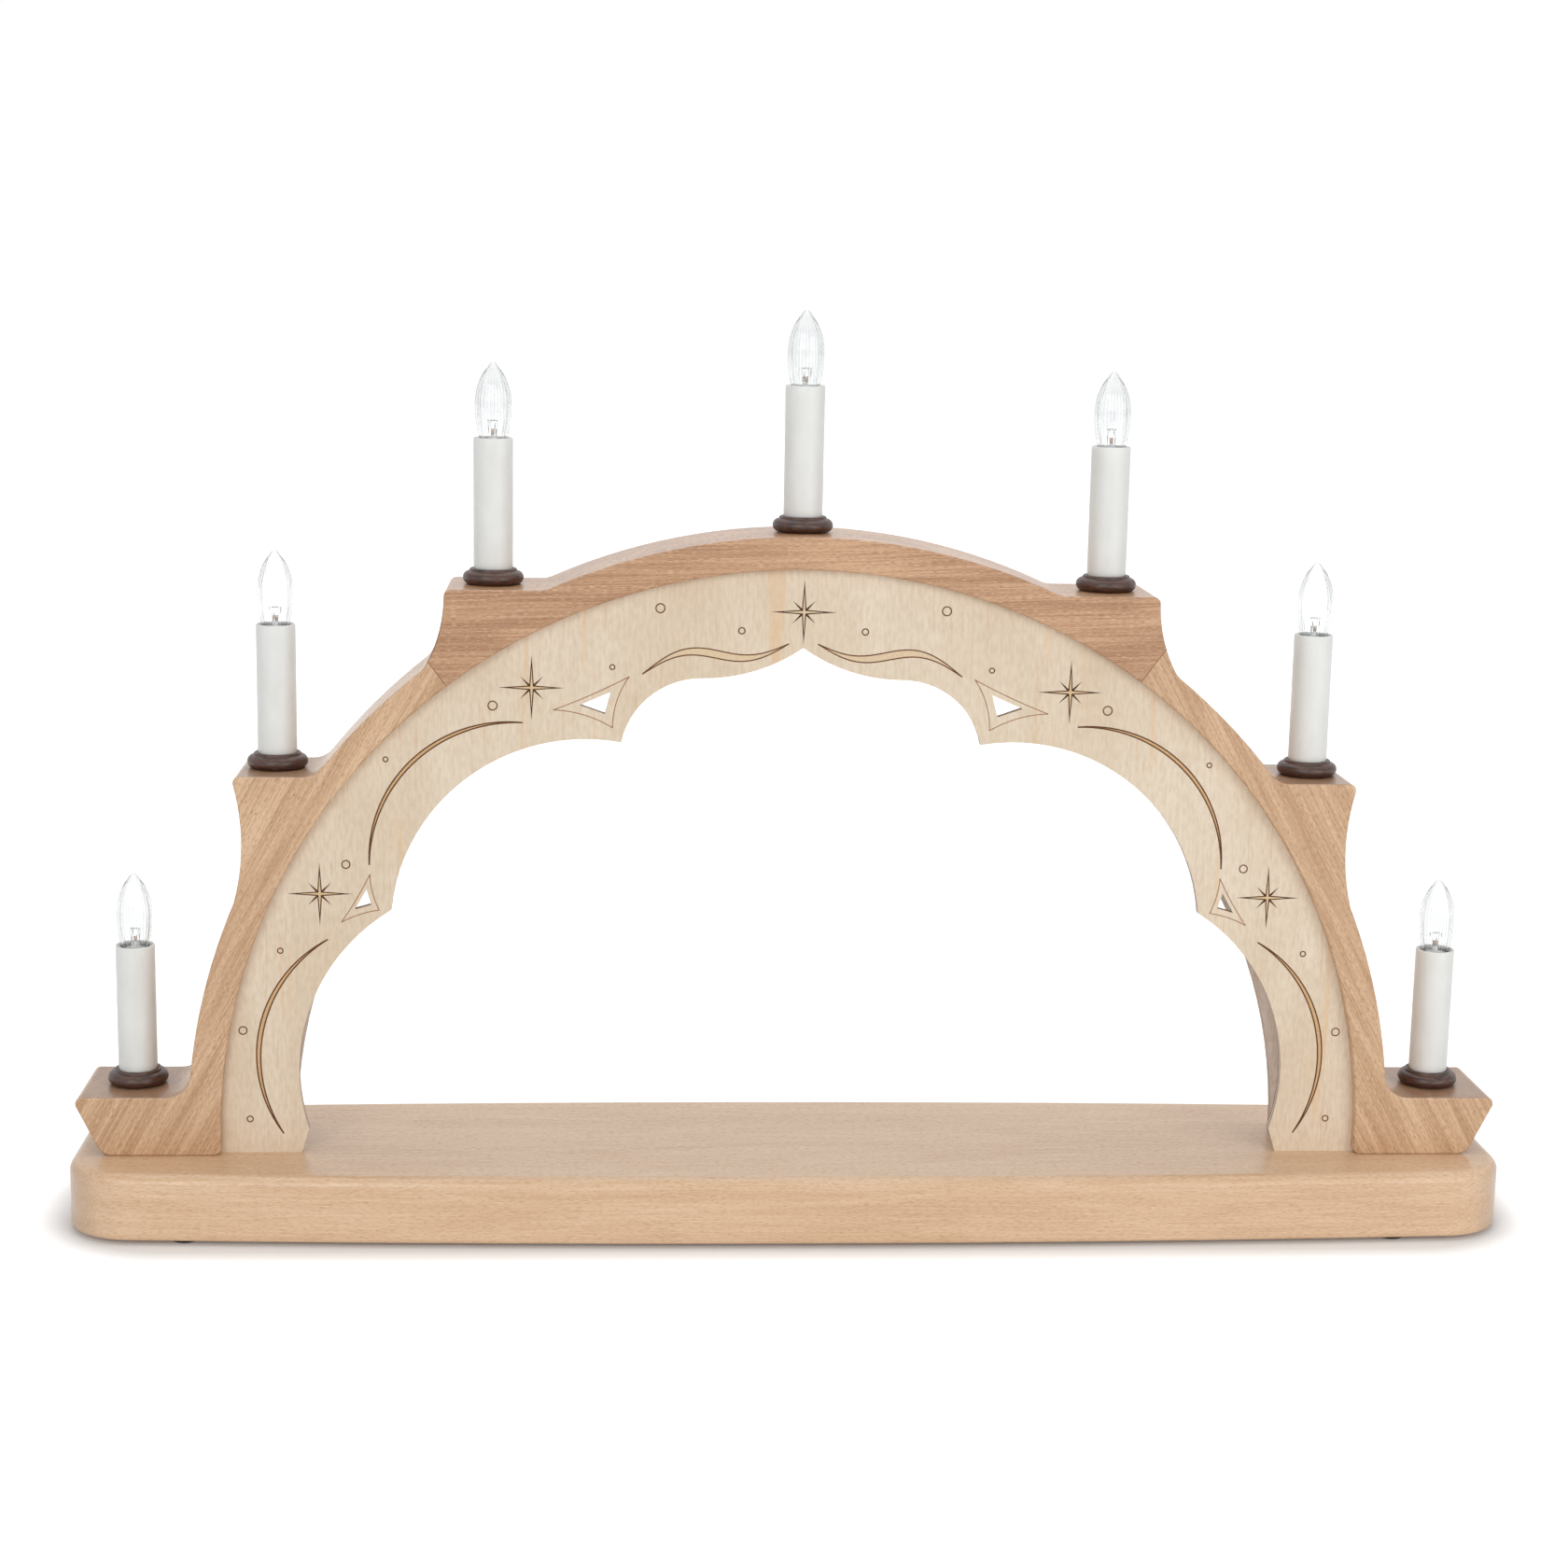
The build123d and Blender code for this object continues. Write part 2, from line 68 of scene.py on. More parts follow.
# Floor's own glow: far from the middle, and beside the shadow round the base, in metres
FLOOR_REACH = 6.0
FLOOR_GLOW_NEAR = 0.04
FLOOR_GLOW_BESIDE = 0.5
FLOOR_GLOW_FAR = 0.8
FLOOR_FAR_START = 0.35
FLOOR_FAR_END = 1.5
FLOOR_SHADOW_START = 0.002
FLOOR_SHADOW_END = 0.019
FLOOR_SHADOW_CORNER = 0.045

# Ring round the foot of a candle; its round is a share of its height
RING_WIDTH = 4.65
RING_SWELL = 0.42
RING_ROUND_START = -70
RING_ROUND_END = 78
RING_LIP_FOOT = 1.75
RING_LIP_MIDDLE = 1.1
RING_LIP_ROUND = 0.6
RING_SIDES = 72

# Bulb, from the rim of its sleeve
BULB_RADIUS = 8.0
BULB_WAIST = 14.5
BULB_TIP = 33.0
BULB_TIP_RADIUS = 0.4
BULB_NECK_RADIUS = 4.55
BULB_NECK_DEPTH = 6.0
BULB_SEAT_RADIUS = 4.2
BULB_SEAT_DEPTH = 10.0
BULB_WALL = 0.4

# Flutes of the glass, which fade out over a height above the neck and below the tip
FLUTES = 32
FLUTE_SIDES = 6
FLUTE_DEPTH = 0.14
FLUTE_FADE_NECK = 8.0
FLUTE_FADE_TIP = 9.0

# Sleeve, with its rim drawn in round the glass
SLEEVE_WALL = 1.1
SLEEVE_SIDES = 96
LIP_RADIUS = 6.5
LIP_DEPTH = 1.6

# Screw cap, with its thread, shoulder and contact
CAP_WALL = 0.45
CAP_SIDES = 48
THREAD_PITCH = 1.8
THREAD_DEPTH = 0.3
THREAD_FADE = 1.2
THREAD_ROWS = 60
SHOULDER = 0.8
SHOULDER_FALL = 0.1
CONTACT_RADIUS = 2.5
CONTACT_ROUND = 0.3
CONTACT_RISE = 0.4
CONTACT_DEPTH = 1.5

# Stem: radius and height of each row, from the rim of the sleeve, up to the bead
STEM_PROFILE = (
    (3.4, -10.0),
    (3.4, -6.0),
    (4.6, -3.4),
    (4.9, -1.8),
    (4.6, -1.4),
    (2.4, -1.2),
    (1.5, -0.6),
)
STEM_TOP_RADIUS = 1.1
STEM_SIDES = 24
BEAD_HEIGHT = 2.6
BEAD_RADIUS = 1.35

# Wires and the wound filament between their tips
WIRE_RADIUS = 0.17
WIRE_FOOT = 0.6
WIRE_TOP = 7.4
WIRE_SPREAD = 1.9
WIRE_STEPS = 14
COIL_WIRE_RADIUS = 0.07
COIL_RADIUS = 0.3
COIL_TURNS = 9
COIL_STEPS = 12

# Glue lines of the two mitres: angle from upright; the arch's centre above the base
MITRE_ANGLES = (-37.3, 35.6)
MITRE_WIDTH = 0.3
ARCH_CENTRE = 9.0
ARCH_INNER = 258.0
ARCH_ARRIS = 0.8

# Edge of the plywood: its distance from the middle, in metres, over which it turns burnt
BURNT_START = 0.0009
BURNT_END = 0.0016

# Engraving on the front panel: widths of the lines, and thickness of the burnt skin of a
# line, of a line over another one's tips, and of a paler fill
LINE = 0.62
THIN_LINE = 0.55
FINE_LINE = 0.4
SKIN = 0.05
SKIN_OVER = 0.06
SKIN_FILL = 0.025
DOT_SIDES = 32

# Star: its reach in eight directions, and the notch between two arms, with its distance
# from the middle and its angle from the long arm; the same for the paler cross inside,
# whose hub is a small share of its size
STAR_LONG = 14.5
STAR_SHORT = 7.3
STAR_WAIST = 1.9
STAR_WAIST_ANGLE = 30.5
STAR_PALE_LONG = 9.2
STAR_PALE_WAIST = 0.8
STAR_PALE_ANGLE = 40
STAR_HUB = 0.02

# Places: distance from the middle, height above the base, and width for the small circles
STARS = ((0.0, 247.9), (119.5, 213.2), (213.1, 119.8))
DOTS = (
    (63.2, 249.0, 4.5),
    (27.3, 239.4, 3.3),
    (84.1, 222.7, 2.7),
    (136.6, 205.1, 4.5),
    (183.6, 180.7, 2.7),
    (201.4, 133.2, 4.1),
    (230.8, 93.7, 2.9),
    (247.9, 56.9, 4.1),
    (245.4, 15.7, 3.2),
)
# Crescents: their two tips, and the rise of the outer and inner arc above the chord
CRESCENTS = (
    ((123.4, 197.6), (191.1, 133.0), 21.4, 19.7),
    ((209.7, 99.0), (230.4, 8.8), 21.0, 19.0),
)
# Swung line: its tips, the swell of its upper and lower curve, and their common swing
SWOOSH_START = (6.4, 233.8)
SWOOSH_END = (70.9, 219.7)
SWOOSH_UPPER = 3.9
SWOOSH_LOWER = 0.4
SWOOSH_SWING = 4.25
# Triangles: their corners, and how far each side bows in
TRIANGLES = (
    (((76.6, 218.5), (109.9, 203.4), (83.8, 195.6)), (-0.6, -1.8, -1.9)),
    (((190.9, 128.7), (203.6, 106.9), (186.9, 112.5)), (-0.5, -0.8, -0.9)),
)


def corners(node):
    """Lowest and highest corner of a CAD node, in millimetres."""
    low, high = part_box(node)
    return np.array(low) / MM, np.array(high) / MM


def centre_of(node):
    """Middle of a node in plan, with its lowest and highest point."""
    low, high = corners(node)
    return (low[0] + high[0]) / 2, (low[1] + high[1]) / 2, low[2], high[2]


def radius_of(node):
    """Radius of a round upright node."""
    low, high = corners(node)
    return (high[0] - low[0]) / 2


def rim_of(number):
    """Middle of the rim of a candle's sleeve."""
    x, y, _, rim = centre_of(f"sleeve_{number}")
    return x, y, rim


def round_angles(sides):
    """Angles round a full turn, in equal parts."""
    return np.arange(sides) * 2 * pi / sides


BASE_TOP = corners("base_board")[1][2]
PANEL_FRONT = corners("front_panel")[0][1]
CANDLES = range(1, 8)


# Meshes
def piece(name, points, faces, finish, body, slot, replaced=(), smooth=True):
    """One object of the scene, from its points in millimetres and its faces."""
    mesh = bpy.data.meshes.new(name)
    mesh.from_pydata((np.asarray(points) * MM).tolist(), [], [list(face) for face in faces])
    mesh.polygons.foreach_set("use_smooth", np.full(len(mesh.polygons), smooth))
    mesh.materials.append(FINISHES[finish])
    mesh.update()
    made = bpy.data.objects.new(name, mesh)
    bpy.context.scene.collection.objects.link(made)
    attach(made, body)
    if replaced:
        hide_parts(*replaced)
    return made


def grid_faces(rows, columns, wrap_rows=False, wrap_columns=True):
    """Four-sided faces of a grid of points, stored row by row, closed round where asked."""
    row = np.arange(rows if wrap_rows else rows - 1)[:, None]
    column = np.arange(columns if wrap_columns else columns - 1)[None, :]
    next_row = (row + 1) % rows
    next_column = (column + 1) % columns
    faces = [
        row * columns + column,
        row * columns + next_column,
        next_row * columns + next_column,
        next_row * columns + column,
    ]
    return np.stack(faces, axis=-1).reshape(-1, 4).tolist()


def turned(radii, heights, sides, closed=True):
    """Surface of revolution about Z.

    The profile gives a radius and a height for each row: x = r cos a, y = r sin a, z = h,
    with the angle a stepping round in equal parts. A closed profile makes a ring, an open
    one is shut by a point on the axis at each end. Radii may vary with the angle.
    """
    angle = round_angles(sides)
    radii = np.asarray(radii, dtype=float)
    if radii.ndim == 1:
        radii = radii[:, None] * np.ones(sides)
    heights = np.asarray(heights, dtype=float)[:, None] * np.ones(sides)
    points = np.stack([radii * np.cos(angle), radii * np.sin(angle), heights], axis=-1)
    rows = len(points)
    points = points.reshape(-1, 3)
    faces = grid_faces(rows, sides, wrap_rows=closed)
    if closed:
        return points, faces
    ends = np.array([[0, 0, heights[0, 0]], [0, 0, heights[-1, 0]]])
    foot = len(points)
    around = np.arange(sides)
    after = (around + 1) % sides
    last_row = (rows - 1) * sides
    foot_fan = [after, around, np.full(sides, foot)]
    top_fan = [last_row + around, last_row + after, np.full(sides, foot + 1)]
    faces += np.stack(foot_fan, axis=-1).tolist() + np.stack(top_fan, axis=-1).tolist()
    return np.concatenate([points, ends]), faces


def tube(path, radius, sides, across):
    """Round tube along a path, with rings square to it and flat ends.

    Each ring is the path's point plus radius times (cos a times n + sin a times b), where
    n is the given direction made square to the path and b completes the frame.
    """
    along = np.gradient(path, axis=0)
    along /= np.linalg.norm(along, axis=1, keepdims=True)
    normal = across - (along @ across)[:, None] * along
    normal /= np.linalg.norm(normal, axis=1, keepdims=True)
    binormal = np.cross(along, normal)
    angle = round_angles(sides)[None, :, None]
    ring = np.cos(angle) * normal[:, None] + np.sin(angle) * binormal[:, None]
    points = (path[:, None] + radius * ring).reshape(-1, 3)
    faces = grid_faces(len(path), sides)
    first = list(range(sides))[::-1]
    last = list(range((len(path) - 1) * sides, len(path) * sides))
    return points, faces + [first, last]


def joined(parts):
    """Several meshes as one."""
    points, faces, start = [], [], 0
    for part_points, part_faces in parts:
        points.append(part_points)
        faces += [[start + index for index in face] for face in part_faces]
        start += len(part_points)
    return np.concatenate(points), faces


# Finishes
class Finish:
    """A material under construction."""

    def __init__(self, name):
        self.material = bpy.data.materials.new(name)
        self.material.use_nodes = True
        self.tree = self.material.node_tree
        self.shader = self.tree.nodes["Principled BSDF"]

    def add(self, kind, inputs=(), **settings):
        """A node with its settings and the values or links of its sockets."""
        node = self.tree.nodes.new(kind)
        for name, value in settings.items():
            setattr(node, name, value)
        for socket, value in dict(inputs).items():
            self.set(node.inputs[socket], value)
        return node

    def set(self, socket, value):
        """Link a socket to another one, or give it a value."""
        if isinstance(value, bpy.types.NodeSocket):
            self.tree.links.new(value, socket)
        else:
            socket.default_value = value

    def shade(self, **values):
        """Values or links of the shader's own sockets."""
        for name, value in values.items():
            self.set(self.shader.inputs[name.replace("_", " ")], value)

    def place(self, turn=(0, 0, 0), scale=(1, 1, 1)):
        """Object coordinates, turned and then stretched."""
        where = self.add("ShaderNodeTexCoord").outputs["Object"]
        turned_to = self.add("ShaderNodeMapping", {"Vector": where, "Rotation": turn}).outputs[0]
        return self.add("ShaderNodeMapping", {"Vector": turned_to, "Scale": scale}).outputs[0]

    def noise(self, where, detail=2.0, distortion=0.0):
        """Noise at a place."""
        inputs = {"Vector": where, "Scale": 1.0, "Detail": detail, "Distortion": distortion}
        return self.add("ShaderNodeTexNoise", inputs).outputs[0]

    def ramp(self, value, low, high, start=0.0, end=1.0):
        """A value stretched from one range to another and held at its ends."""
        inputs = {0: value, 1: low, 2: high, 3: start, 4: end}
        return self.add("ShaderNodeMapRange", inputs, clamp=True).outputs[0]

    def mix(self, share, first, second):
        """Two colours mixed, with the share of the second."""
        inputs = {0: share, 6: first, 7: second}
        return self.add("ShaderNodeMix", inputs, data_type="RGBA").outputs[2]

    def math(self, how, first, second=0.0):
        """One operation on one or two values."""
        return self.add("ShaderNodeMath", {0: first, 1: second}, operation=how).outputs[0]

    def vector(self, how, first, second=(0, 0, 0)):
        """One operation on one or two vectors; a length or dot product gives a value."""
        node = self.add("ShaderNodeVectorMath", {0: first, 1: second}, operation=how)
        return node.outputs["Value" if how in ("LENGTH", "DOT_PRODUCT") else "Vector"]

    def normal(self):
        """Direction that the surface faces."""
        return self.add("ShaderNodeNewGeometry").outputs["Normal"]

    def depth(self, vector):
        """Y of a vector."""
        return self.add("ShaderNodeSeparateXYZ", {0: vector}).outputs[1]

    def bump(self, height, strength, distance):
        """Normal of a surface with fine relief."""
        values = {"Height": height, "Strength": strength, "Distance": distance}
        return self.add("ShaderNodeBump", values).outputs[0]


def colour(red, green, blue):
    """Colour from screen values of 0 to 255."""
    parts = [((c / 255 + 0.055) / 1.055) ** 2.4 for c in (red, green, blue)]
    return (*parts, 1.0)


def grain_way(grain):
    """Direction of the grain in the front view, at an angle from level."""
    return (cos(radians(grain)), 0, sin(radians(grain)))


END_GRAIN = colour(128, 90, 72)
PALE_FLECK = colour(238, 210, 180)
FLECK_SHARE = 0.55
PALE_SHARE = 0.35


def beech(name, grain, light, dark, fleck_tone, contrast=1.0, end_share=0.68):
    """Steamed beech: soft bands, combed streaks and short dark flecks along the grain, lacquered.

    End grain, where the face is square to the grain's direction, is darker.
    """
    finish = Finish(name)
    turn = (0, radians(grain), 0)
    bands = finish.noise(finish.place(turn, (9, 50, 170)), detail=3.0, distortion=0.5)
    streaks = finish.noise(finish.place(turn, (28, 700, 1500)), detail=3.0, distortion=0.3)
    tone = finish.noise(finish.place(turn, (5, 12, 22)), detail=1.0)
    flecks = finish.noise(finish.place(turn, (380, 1800, 3600)), detail=1.0)
    share = finish.ramp(bands, 0.38, 0.62, 0, 0.5)
    share = finish.math("ADD", share, finish.ramp(tone, 0.3, 0.7, 0, 0.2))
    share = finish.math("ADD", share, finish.ramp(streaks, 0.38, 0.64, 0, 0.6))
    wood = finish.mix(finish.math("MULTIPLY", share, contrast), light, dark)
    fleck = finish.ramp(flecks, 0.55, 0.67)
    wood = finish.mix(finish.math("MULTIPLY", fleck, FLECK_SHARE * contrast), wood, fleck_tone)
    pale = finish.ramp(flecks, 0.42, 0.32)
    wood = finish.mix(finish.math("MULTIPLY", pale, PALE_SHARE * contrast), wood, PALE_FLECK)
    along = finish.vector("DOT_PRODUCT", finish.normal(), grain_way(grain))
    ends = finish.math("ABSOLUTE", along)
    wood = finish.mix(finish.ramp(ends, 0.45, 0.95, 0, end_share), wood, END_GRAIN)
    finish.shade(Base_Color=wood, Roughness=finish.ramp(flecks, 0.3, 0.7, 0.34, 0.48))
    finish.shade(Coat_Weight=0.42, Coat_Roughness=0.2)
    finish.shade(Normal=finish.bump(fleck, 0.3, 0.0001))
    return finish.material


def plywood(name, middle, light, dark):
    """Pale thin plywood: fine upright grain, faint warm streaks, and a sawn edge of layers.

    The edge is burnt towards its arrises, away from the given depth of the sheet's middle.
    """
    finish = Finish(name)
    fine = finish.noise(finish.place(scale=(2300, 400, 60)), detail=2.0, distortion=0.3)
    wide = finish.noise(finish.place(scale=(320, 60, 12)), detail=3.0, distortion=0.8)
    cloud = finish.noise(finish.place(scale=(28, 20, 14)), detail=2.0)
    streak = finish.noise(finish.place(scale=(900, 80, 30)), detail=1.0, distortion=0.8)
    rings = finish.noise(finish.place(scale=(150, 40, 9)), detail=2.0, distortion=0.5)
    mottle = finish.noise(finish.place(scale=(620, 200, 210)), detail=3.0)
    wood = finish.mix(finish.ramp(cloud, 0.35, 0.65), light, dark)
    wood = finish.mix(finish.ramp(wide, 0.45, 0.7, 0, 0.12), wood, colour(206, 180, 148))
    wood = finish.mix(finish.ramp(fine, 0.35, 0.7, 0, 0.14), wood, colour(190, 162, 130))
    wood = finish.mix(finish.ramp(mottle, 0.4, 0.64, 0, 0.28), wood, colour(194, 168, 138))
    wood = finish.mix(finish.ramp(streak, 0.66, 0.76, 0, 0.3), wood, colour(206, 150, 98))
    wood = finish.mix(finish.ramp(rings, 0.63, 0.72, 0, 0.45), wood, colour(226, 184, 134))
    facing = finish.math("ABSOLUTE", finish.depth(finish.normal()))
    sawn = finish.ramp(facing, 0.3, 0.7, 1, 0)
    off = finish.math("SUBTRACT", finish.depth(finish.place()), middle * MM)
    off = finish.math("ABSOLUTE", off)
    layers = finish.noise(finish.place(scale=(40, 1500, 40)), detail=1.0)
    edge = finish.mix(finish.ramp(layers, 0.4, 0.6), colour(226, 210, 200), colour(204, 182, 166))
    edge = finish.mix(finish.ramp(off, BURNT_START, BURNT_END), edge, colour(88, 48, 28))
    finish.shade(Base_Color=finish.mix(sawn, wood, edge), Roughness=0.62)
    finish.shade(Normal=finish.bump(fine, 0.1, 0.0001))
    return finish.material


def dark_stained():
    """Dark brown stained turned wood with a soft shine and fine lathe lines."""
    finish = Finish("dark_stained_wood")
    grain = finish.noise(finish.place(scale=(300, 300, 1500)), detail=3.0)
    wood = finish.mix(finish.ramp(grain, 0.35, 0.65), colour(40, 24, 19), colour(88, 54, 41))
    finish.shade(Base_Color=wood, Roughness=0.42, Normal=finish.bump(grain, 0.2, 0.0001))
    finish.shade(Coat_Weight=0.12, Coat_Roughness=0.25)
    return finish.material


def candle_white():
    """White candle tube, satin and slightly translucent."""
    finish = Finish("candle_white")
    cloud = finish.noise(finish.place(scale=(120, 120, 60)), detail=2.0)
    white = finish.mix(finish.ramp(cloud, 0.3, 0.7), colour(236, 237, 234), colour(229, 230, 226))
    finish.shade(Base_Color=white, Roughness=finish.ramp(cloud, 0.3, 0.7, 0.36, 0.42))
    finish.shade(Subsurface_Weight=0.15, Subsurface_Scale=1.0)
    finish.shade(Subsurface_Radius=(0.003, 0.003, 0.003))
    return finish.material


def clear_glass(name, edge):
    """Clear glass with painted shade: greyer in colour where seen edge on and along its flute
    grooves.
    """
    finish = Finish(name)
    rim = finish.add("ShaderNodeLayerWeight", {"Blend": 0.35}).outputs["Facing"]
    painted_shade_tint = finish.mix(finish.ramp(rim, 0.2, 0.95), (0.955, 0.965, 0.965, 1), edge)
    groove = finish.add("ShaderNodeAttribute", attribute_name="groove").outputs["Fac"]
    painted_shade_tint = finish.mix(finish.ramp(groove, 0.55, 1.0, 0, 0.8), painted_shade_tint, edge)
    finish.shade(Base_Color=painted_shade_tint, Roughness=0.0, IOR=1.45, Transmission_Weight=1.0)
    return finish.material


def metal(name, tone, roughness):
    """Plain plated metal with faint brushing."""
    finish = Finish(name)
    brush = finish.noise(finish.place(scale=(4000, 4000, 600)), detail=1.0)
    finish.shade(Base_Color=finish.mix(finish.ramp(brush, 0.3, 0.7), tone, colour(150, 146, 138)))
    finish.shade(Metallic=1.0, Roughness=roughness, Normal=finish.bump(brush, 0.05, 0.00005))
    return finish.material


def plain(name, tone, other, roughness, size):
    """Moulded plastic, rubber or board with a faint cloud of a second tone."""
    finish = Finish(name)
    cloud = finish.noise(finish.place(scale=(size, size, size)), detail=3.0)
    finish.shade(Base_Color=finish.mix(finish.ramp(cloud, 0.35, 0.65), tone, other))
    finish.shade(Roughness=roughness, Normal=finish.bump(cloud, 0.1, 0.00005))
    return finish.material


def burnt(name, tone, other):
    """Laser-burnt wood."""
    finish = Finish(name)
    cloud = finish.noise(finish.place(scale=(900, 900, 900)), detail=2.0)
    finish.shade(Base_Color=finish.mix(finish.ramp(cloud, 0.35, 0.65), tone, other), Roughness=0.8)
    return finish.material


def middle_depth(node):
    """Depth of the middle of a node."""
    low, high = corners(node)
    return (low[1] + high[1]) / 2


BASE_LIGHT = colour(228, 196, 162)
BASE_DARK = colour(208, 170, 132)
BASE_FLECK = colour(172, 124, 84)
LEG_LIGHT = colour(224, 189, 152)
LEG_DARK = colour(184, 143, 104)
LEG_FLECK = colour(138, 88, 56)
FINISHES = {
    "crown": beech("beech_crown", 2, colour(210, 168, 130), colour(166, 120, 82), LEG_FLECK),
    "left": beech("beech_left_leg", 61, LEG_LIGHT, LEG_DARK, LEG_FLECK),
    "right": beech("beech_right_leg", -61, LEG_LIGHT, LEG_DARK, LEG_FLECK),
    "base": beech("beech_base", 0, BASE_LIGHT, BASE_DARK, BASE_FLECK, contrast=0.75, end_share=0.4),
    "front": plywood(
        "front_plywood", middle_depth("front_panel"), colour(235, 220, 199), colour(224, 206, 181)
    ),
    # Rear sheet: its near-white colours, lighter than the front sheet's, are painted light that
    # brightens its face in the shade between the panels
    "rear": plywood(
        "rear_plywood_painted_light", middle_depth("rear_panel"), colour(250, 240, 232), colour(244, 232, 222)
    ),
    "rings": dark_stained(),
    "sleeves": candle_white(),
    # The glass's edge colour is painted shade, grey at grazing angles and in the grooves of the
    # flutes
    "glass": clear_glass("bulb_glass", (0.66, 0.68, 0.69, 1)),
    "stem": plain("milky_glass", colour(246, 247, 246), colour(238, 240, 240), 0.3, 700),
    "bead": plain("glass_bead", colour(214, 196, 186), colour(190, 168, 156), 0.25, 900),
    "wire": metal("filament_wire", colour(120, 112, 104), 0.4),
    "cap": metal("bulb_cap_plating", colour(205, 196, 170), 0.3),
    "screws": metal("zinc_plating", colour(190, 190, 192), 0.35),
    "sockets": plain("socket_plastic", colour(226, 226, 220), colour(218, 218, 210), 0.45, 200),
    "rubber": plain("black_rubber", colour(28, 28, 28), colour(38, 38, 38), 0.75, 500),
    "sheath": plain("wire_sheath", colour(225, 225, 220), colour(215, 215, 208), 0.4, 300),
    "cover": plain("cover_board", colour(120, 92, 66), colour(104, 78, 55), 0.8, 400),
    "seam": burnt("glue_line", colour(112, 74, 50), colour(132, 90, 62)),
    "dark_line": burnt("dark_burnt_line", colour(56, 30, 14), colour(84, 48, 24)),
    "line": burnt("burnt_line", colour(78, 44, 20), colour(104, 62, 32)),
    "thin_line": burnt("thin_burnt_line", colour(94, 58, 32), colour(114, 74, 44)),
    "fine": burnt("fine_burnt_line", colour(150, 106, 72), colour(168, 126, 92)),
    "fill": burnt("warm_fill", colour(214, 178, 132), colour(202, 162, 114)),
    "star_fill": burnt("star_fill", colour(224, 196, 156), colour(214, 182, 138)),
    "pale_fill": burnt("pale_fill", colour(226, 204, 172), colour(218, 192, 156)),
}


def dress(node, finish):
    """Give a carried-over CAD node its finish."""
    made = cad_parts[node]
    made.data.materials.clear()
    made.data.materials.append(FINISHES[finish])


for node, finish in (
    ("arch_crown", "crown"),
    ("arch_leg_left", "left"),
    ("arch_leg_right", "right"),
    ("mitre_dowels", "base"),
    ("base_board", "base"),
    ("base_screws", "screws"),
    ("channel_cover", "cover"),
    ("cable_grommet", "rubber"),
    ("foot_front_left", "rubber"),
    ("foot_front_right", "rubber"),
    ("foot_back_left", "rubber"),
    ("foot_back_right", "rubber"),
    ("front_panel", "front"),
    ("rear_panel", "rear"),
    ("wiring_loom", "sheath"),
):
    dress(node, finish)
for number in CANDLES:
    dress(f"socket_{number}", "sockets")


# Candles
def profile_arc(start, end, centre_r, centre_h, radius, steps):
    """Arc of a profile between two angles in degrees.

    Its points are r = centre + radius cos a and h = centre + radius sin a.
    """
    angle = np.radians(np.linspace(start, end, steps))
    return centre_r + radius * np.cos(angle), centre_h + radius * np.sin(angle)


def make_ring(number):
    """Turned ring: a full round with a small rounded lip above it.

    From the bore the profile goes out along the foot to an arc, whose radius is a share of
    the height and which is cut level at the foot, then up a quarter-round lip and back.
    """
    node = f"ring_{number}"
    x, y, low, high = centre_of(node)
    widest, height = radius_of(node), high - low
    bore = widest - RING_WIDTH
    swell = RING_SWELL * height
    lip = height - RING_LIP_ROUND
    round_off = RING_ROUND_START, RING_ROUND_END
    side_r, side_h = profile_arc(*round_off, widest - swell, swell, swell, steps=22)
    lip_r, lip_h = profile_arc(0, 90, bore + RING_LIP_MIDDLE, lip, RING_LIP_ROUND, steps=6)
    radii = np.concatenate([[bore], side_r, [bore + RING_LIP_FOOT], lip_r, [bore]])
    heights = np.concatenate([[0], np.maximum(side_h, 0), [2 * swell], lip_h, [height]])
    points, faces = turned(radii, heights, RING_SIDES)
    points += (x, y, low)
    piece(f"turned_ring_{number}", points, faces, "rings", "arch", "dark_wood", [node])


def make_sleeve(number):
    """Candle tube: outer wall, rounded rim, lip drawn in to the glass, inner wall.

    The profile is a straight wall, an arc over the rim with half the wall's thickness as its
    radius, an upright lip, and a slope back to a straight wall inside.
    """
    node = f"sleeve_{number}"
    x, y, low, high = centre_of(node)
    outer = radius_of(node)
    inner = outer - SLEEVE_WALL
    rim = high - SLEEVE_WALL / 2
    rim_r, rim_h = profile_arc(0, 150, outer - SLEEVE_WALL / 2, rim, SLEEVE_WALL / 2, steps=9)
    rows = np.linspace(low, rim, 8)[:-1]
    lip_end = high - LIP_DEPTH
    lip_r = [LIP_RADIUS, LIP_RADIUS, inner]
    lip_h = [rim, lip_end, lip_end - (outer - LIP_RADIUS)]
    outer_r, inner_r = np.full(len(rows), outer), np.full(len(rows) - 1, inner)
    radii = np.concatenate([outer_r, rim_r, lip_r, inner_r])
    heights = np.concatenate([rows, rim_h, lip_h, rows[-2::-1]])
    points, faces = turned(radii, heights, SLEEVE_SIDES)
    points += (x, y, 0)
    piece(f"candle_{number}", points, faces, "sleeves", "arch", "candle_plastic", [node])


def from_upright(start_r, start_h, end_r, end_h, steps):
    """Arc that leaves its start straight up or down and ends nearer the axis.

    With the ways across a and up u, its radius is (a*a + u*u) / 2a and its angle
    asin(u / radius), from a centre that is level with the start.
    """
    across = start_r - end_r
    up = end_h - start_h
    radius = (across**2 + up**2) / (2 * across)
    angle = np.linspace(0, asin(up / radius), steps)
    return start_r - radius + radius * np.cos(angle), start_h + radius * np.sin(angle)


